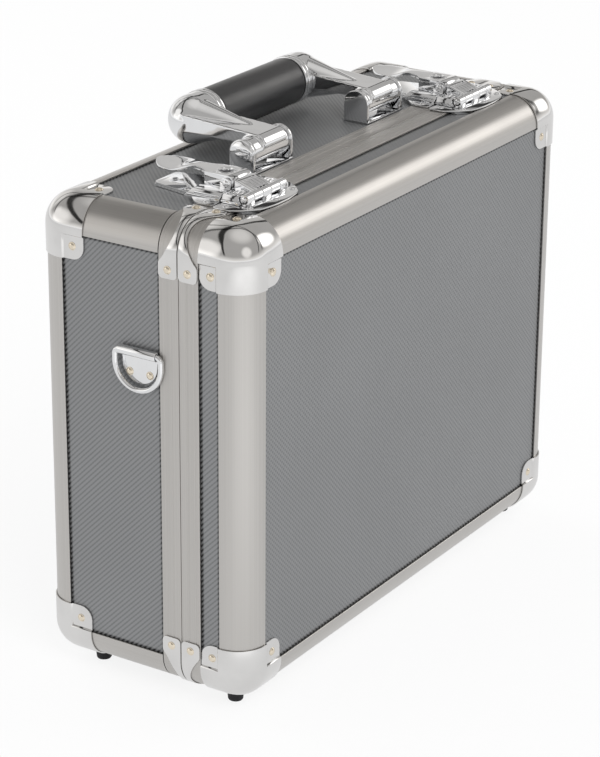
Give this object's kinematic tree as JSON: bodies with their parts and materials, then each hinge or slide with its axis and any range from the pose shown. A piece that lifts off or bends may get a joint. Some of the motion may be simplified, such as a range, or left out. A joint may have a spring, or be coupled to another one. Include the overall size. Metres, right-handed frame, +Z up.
{
  "type": "aluminium carrying case",
  "caption": "Upright aluminium carrying case: rounded edge profiles, capped corners, hinged lid, lever latches with locks, folding handle, D-rings and feet.",
  "frame": {"origin": "on the floor under the middle of the case, at the bottom of the box round the whole object", "axes": "+X along the case's length, +Y from the lid to the base's back, +Z up"},
  "size_m": [0.427, 0.168, 0.3739],
  "materials": {
    "panel": "sheet embossed with a fine diamond rib, anodised mid grey",
    "profile": "extrusion with satin anodised faces",
    "frame": "extrusion with satin anodised faces, chromed clips riveted on",
    "lining": "dark cloth over foam",
    "cap": "pressed steel, polished and plated",
    "foot": "moulded, matt",
    "ring_plate": "pressed steel, polished and plated",
    "ring": "bent wire, polished and plated",
    "bracket": "pressed steel, polished and plated",
    "arm": "zinc casting, polished and plated",
    "grip": "stitched leatherette with a soft sheen",
    "latch_base": "pressed steel, polished and plated",
    "lever": "zinc casting, polished and plated",
    "plug": "turned lock barrel with a key slot, darkened",
    "latch_plate": "pressed steel, polished and plated",
    "hasp": "zinc casting, polished and plated",
    "hinge": "leaf hinge with satin anodised faces"
  },
  "bodies": {
    "base": {"base_back_panel": "panel", "base_top_panel": "panel", "base_bottom_panel": "panel", "base_left_panel": "panel", "base_right_panel": "panel", "base_back_bottom_profile": "profile", "base_left_bottom_profile": "profile", "base_right_bottom_profile": "profile", "base_back_top_profile": "profile", "base_left_top_profile": "profile", "base_right_top_profile": "profile", "base_back_left_profile": "profile", "base_back_right_profile": "profile", "base_closing_frame": "frame", "base_lining": "lining", "base_left_bottom_cap": "cap", "base_right_bottom_cap": "cap", "base_left_top_cap": "cap", "base_right_top_cap": "cap", "base_left_foot": "foot", "ring_plate_left": "ring_plate", "handle_bracket_left": "bracket", "base_right_foot": "foot", "ring_plate_right": "ring_plate", "handle_bracket_right": "bracket", "latch_base_left": "latch_base", "latch_base_right": "latch_base", "hinge_base_leaf_left": "hinge", "hinge_base_leaf_right": "hinge"},
    "lid": {"lid_front_panel": "panel", "lid_side_band": "panel", "lid_front_bottom_profile": "profile", "lid_front_top_profile": "profile", "lid_front_left_profile": "profile", "lid_front_right_profile": "profile", "lid_closing_frame": "frame", "lid_lining": "lining", "lid_left_bottom_cap": "cap", "lid_right_bottom_cap": "cap", "lid_left_top_cap": "cap", "lid_right_top_cap": "cap", "lid_left_foot": "foot", "lid_right_foot": "foot", "lid_latch_plate_left": "latch_plate", "lid_latch_plate_right": "latch_plate", "hinge_lid_leaf_left": "hinge", "hinge_lid_leaf_right": "hinge"},
    "handle": {"handle_arm_left": "arm", "handle_arm_right": "arm", "handle_grip": "grip"},
    "latch_lever_left": {"latch_lever_left": "lever"},
    "lock_plug_left": {"lock_plug_left": "plug"},
    "hasp_left": {"hasp_left": "hasp"},
    "ring_left": {"ring_left": "ring"},
    "latch_lever_right": {"latch_lever_right": "lever"},
    "lock_plug_right": {"lock_plug_right": "plug"},
    "hasp_right": {"hasp_right": "hasp"},
    "ring_right": {"ring_right": "ring"}
  },
  "joints": [
    {"name": "lid_hinge", "type": "hinge", "parent": "base", "child": "lid", "pos_m": [0, -0.031, 0.0061], "axis": [1, 0, 0], "range_deg": [0, 95]},
    {"name": "handle_fold", "type": "hinge", "parent": "base", "child": "handle", "pos_m": [0, -0.003, 0.349], "axis": [1, 0, 0], "range_deg": [0, 110]},
    {"name": "lever_left_lift", "type": "hinge", "parent": "base", "child": "latch_lever_left", "pos_m": [-0.136, -0.0263, 0.3468], "axis": [1, 0, 0], "range_deg": [0, 85]},
    {"name": "lock_left_turn", "type": "hinge", "parent": "latch_lever_left", "child": "lock_plug_left", "pos_m": [-0.136, -0.0186, 0.35], "axis": [0, 0, 1], "range_deg": [0, 90]},
    {"name": "hasp_left_lift", "type": "hinge", "parent": "lid", "child": "hasp_left", "pos_m": [-0.136, -0.0475, 0.3422], "axis": [1, 0, 0], "range_deg": [0, 100]},
    {"name": "ring_left_swing", "type": "hinge", "parent": "base", "child": "ring_left", "pos_m": [-0.2105, 0, 0.245], "axis": [0, 1, 0], "range_deg": [0, 170]},
    {"name": "lever_right_lift", "type": "hinge", "parent": "base", "child": "latch_lever_right", "pos_m": [0.136, -0.0263, 0.3468], "axis": [1, 0, 0], "range_deg": [0, 85]},
    {"name": "lock_right_turn", "type": "hinge", "parent": "latch_lever_right", "child": "lock_plug_right", "pos_m": [0.136, -0.0186, 0.35], "axis": [0, 0, 1], "range_deg": [0, 90]},
    {"name": "hasp_right_lift", "type": "hinge", "parent": "lid", "child": "hasp_right", "pos_m": [0.136, -0.0475, 0.3422], "axis": [1, 0, 0], "range_deg": [0, 100]},
    {"name": "ring_right_swing", "type": "hinge", "parent": "base", "child": "ring_right", "pos_m": [0.2105, 0, 0.245], "axis": [0, -1, 0], "range_deg": [0, 170]}
  ]
}
